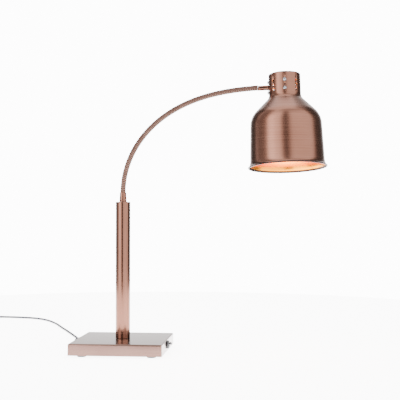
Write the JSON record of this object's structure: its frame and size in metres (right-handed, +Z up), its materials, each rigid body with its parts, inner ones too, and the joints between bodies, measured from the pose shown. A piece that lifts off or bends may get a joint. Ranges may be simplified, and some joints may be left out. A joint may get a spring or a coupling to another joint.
{
  "type": "heat lamp warmer",
  "caption": "Counter-top heat lamp warmer: a square weighted base with a column, a flexible gooseneck arm and a bell shade over a reflector heat bulb.",
  "frame": {"origin": "centre of the base plate's underside; the rubber feet stand 5 mm below it", "axes": "+Z up the column, +X from the column towards the head, -Y the front"},
  "size_m": [1.063, 0.8796, 0.6105],
  "materials": {
    "brushed_copper": "brushed copper-bronze plating",
    "shade_copper": "brushed copper-bronze plating outside, gold reflector inside",
    "gooseneck_steel": "coppered ribbed hose",
    "zinc": "zinc-plated",
    "plate_steel": "black painted steel",
    "brass": "turned brass",
    "rubber": "matt black",
    "black_plastic": "moulded",
    "wire": "insulated wire",
    "ceramic": "glazed ceramic",
    "glass": "clear and frosted heat bulb"
  },
  "bodies": {
    "base": {"base_cover": "brushed_copper", "base_plate": "plate_steel", "ballast_plate": "plate_steel", "foot_front_left": "rubber", "foot_front_right": "rubber", "foot_rear_left": "rubber", "foot_rear_right": "rubber", "foot_screw_front_left": "zinc", "foot_screw_front_right": "zinc", "foot_screw_rear_left": "zinc", "foot_screw_rear_right": "zinc", "strain_relief": "rubber", "strain_relief_nut": "black_plastic", "switch_body": "black_plastic", "switch_collar": "black_plastic", "terminal_block": "ceramic", "supply_wire": "wire", "switch_wire": "wire", "column_wire": "wire", "column_tube": "brushed_copper", "column_bottom_plug": "zinc", "column_nipple": "zinc", "column_washer": "zinc", "column_nut": "brass", "spacer_sleeve": "zinc", "column_top_plug": "brushed_copper", "lower_ferrule": "brushed_copper", "gooseneck_link_0": "gooseneck_steel", "cord_lead": "rubber", "cord_coil": "rubber", "cord_tail": "rubber", "cable_tie": "black_plastic", "mains_plug": "rubber"},
    "neck_1": {"gooseneck_link_1": "gooseneck_steel"},
    "neck_2": {"gooseneck_link_2": "gooseneck_steel"},
    "neck_3": {"gooseneck_link_3": "gooseneck_steel"},
    "neck_4": {"gooseneck_link_4": "gooseneck_steel"},
    "neck_5": {"gooseneck_link_5": "gooseneck_steel"},
    "neck_6": {"gooseneck_link_6": "gooseneck_steel"},
    "neck_7": {"gooseneck_link_7": "gooseneck_steel"},
    "neck_8": {"gooseneck_link_8": "gooseneck_steel"},
    "neck_9": {"gooseneck_link_9": "gooseneck_steel"},
    "head": {"gooseneck_link_10": "gooseneck_steel", "upper_ferrule": "brushed_copper", "shade": "shade_copper", "arm_flange": "zinc", "arm_lock_nut": "brass", "side_screw_lower": "zinc", "side_screw_upper": "zinc", "front_screw_lower": "zinc", "front_screw_upper": "zinc", "rear_screw_lower": "zinc", "rear_screw_upper": "zinc", "socket_bracket": "zinc", "lamp_socket": "ceramic", "socket_nipple": "zinc", "socket_nut": "brass", "bulb_glass": "glass", "bulb_cap": "brass"},
    "switch_lever": {"switch_lever": "black_plastic"}
  },
  "joints": [
    {"name": "neck_bend_1", "type": "hinge", "parent": "base", "child": "neck_1", "pos_m": [0.00116, 0, 0.36676], "axis": [0, 1, 0], "range_deg": [-12, 12]},
    {"name": "neck_sway_1", "type": "hinge", "parent": "neck_1", "child": "neck_2", "pos_m": [0.01027, 0, 0.40728], "axis": [-0.9464, 0, 0.323], "range_deg": [-8, 8]},
    {"name": "neck_bend_2", "type": "hinge", "parent": "neck_2", "child": "neck_3", "pos_m": [0.02771, 0, 0.44498], "axis": [0, 1, 0], "range_deg": [-12, 12]},
    {"name": "neck_sway_2", "type": "hinge", "parent": "neck_3", "child": "neck_4", "pos_m": [0.0523, 0, 0.47846], "axis": [-0.7457, 0, 0.6663], "range_deg": [-8, 8]},
    {"name": "neck_bend_3", "type": "hinge", "parent": "neck_4", "child": "neck_5", "pos_m": [0.08268, 0, 0.50682], "axis": [0, 1, 0], "range_deg": [-12, 12]},
    {"name": "neck_sway_3", "type": "hinge", "parent": "neck_5", "child": "neck_6", "pos_m": [0.11742, 0, 0.52964], "axis": [-0.4817, 0, 0.8764], "range_deg": [-8, 8]},
    {"name": "neck_bend_4", "type": "hinge", "parent": "neck_6", "child": "neck_7", "pos_m": [0.1552, 0, 0.54699], "axis": [0, 1, 0], "range_deg": [-12, 12]},
    {"name": "neck_sway_4", "type": "hinge", "parent": "neck_7", "child": "neck_8", "pos_m": [0.19492, 0, 0.55932], "axis": [-0.2413, 0, 0.9704], "range_deg": [-8, 8]},
    {"name": "neck_bend_5", "type": "hinge", "parent": "neck_8", "child": "neck_9", "pos_m": [0.23573, 0, 0.56737], "axis": [0, 1, 0], "range_deg": [-12, 12]},
    {"name": "neck_sway_5", "type": "hinge", "parent": "neck_9", "child": "head", "pos_m": [0.27705, 0, 0.57214], "axis": [-0.084, 0, 0.9965], "range_deg": [-8, 8]},
    {"name": "switch_throw", "type": "hinge", "parent": "base", "child": "switch_lever", "pos_m": [0.0992, -0.013, 0.0142], "axis": [0, 1, 0], "range_deg": [0, 28]}
  ],
  "couplings": [
    {"joint": "neck_bend_2", "follows": "neck_bend_1", "ratio": 1},
    {"joint": "neck_bend_3", "follows": "neck_bend_1", "ratio": 1},
    {"joint": "neck_bend_5", "follows": "neck_bend_4", "ratio": 1},
    {"joint": "neck_sway_2", "follows": "neck_sway_1", "ratio": 1},
    {"joint": "neck_sway_3", "follows": "neck_sway_1", "ratio": 1},
    {"joint": "neck_sway_4", "follows": "neck_sway_1", "ratio": 1},
    {"joint": "neck_sway_5", "follows": "neck_sway_1", "ratio": 1}
  ]
}
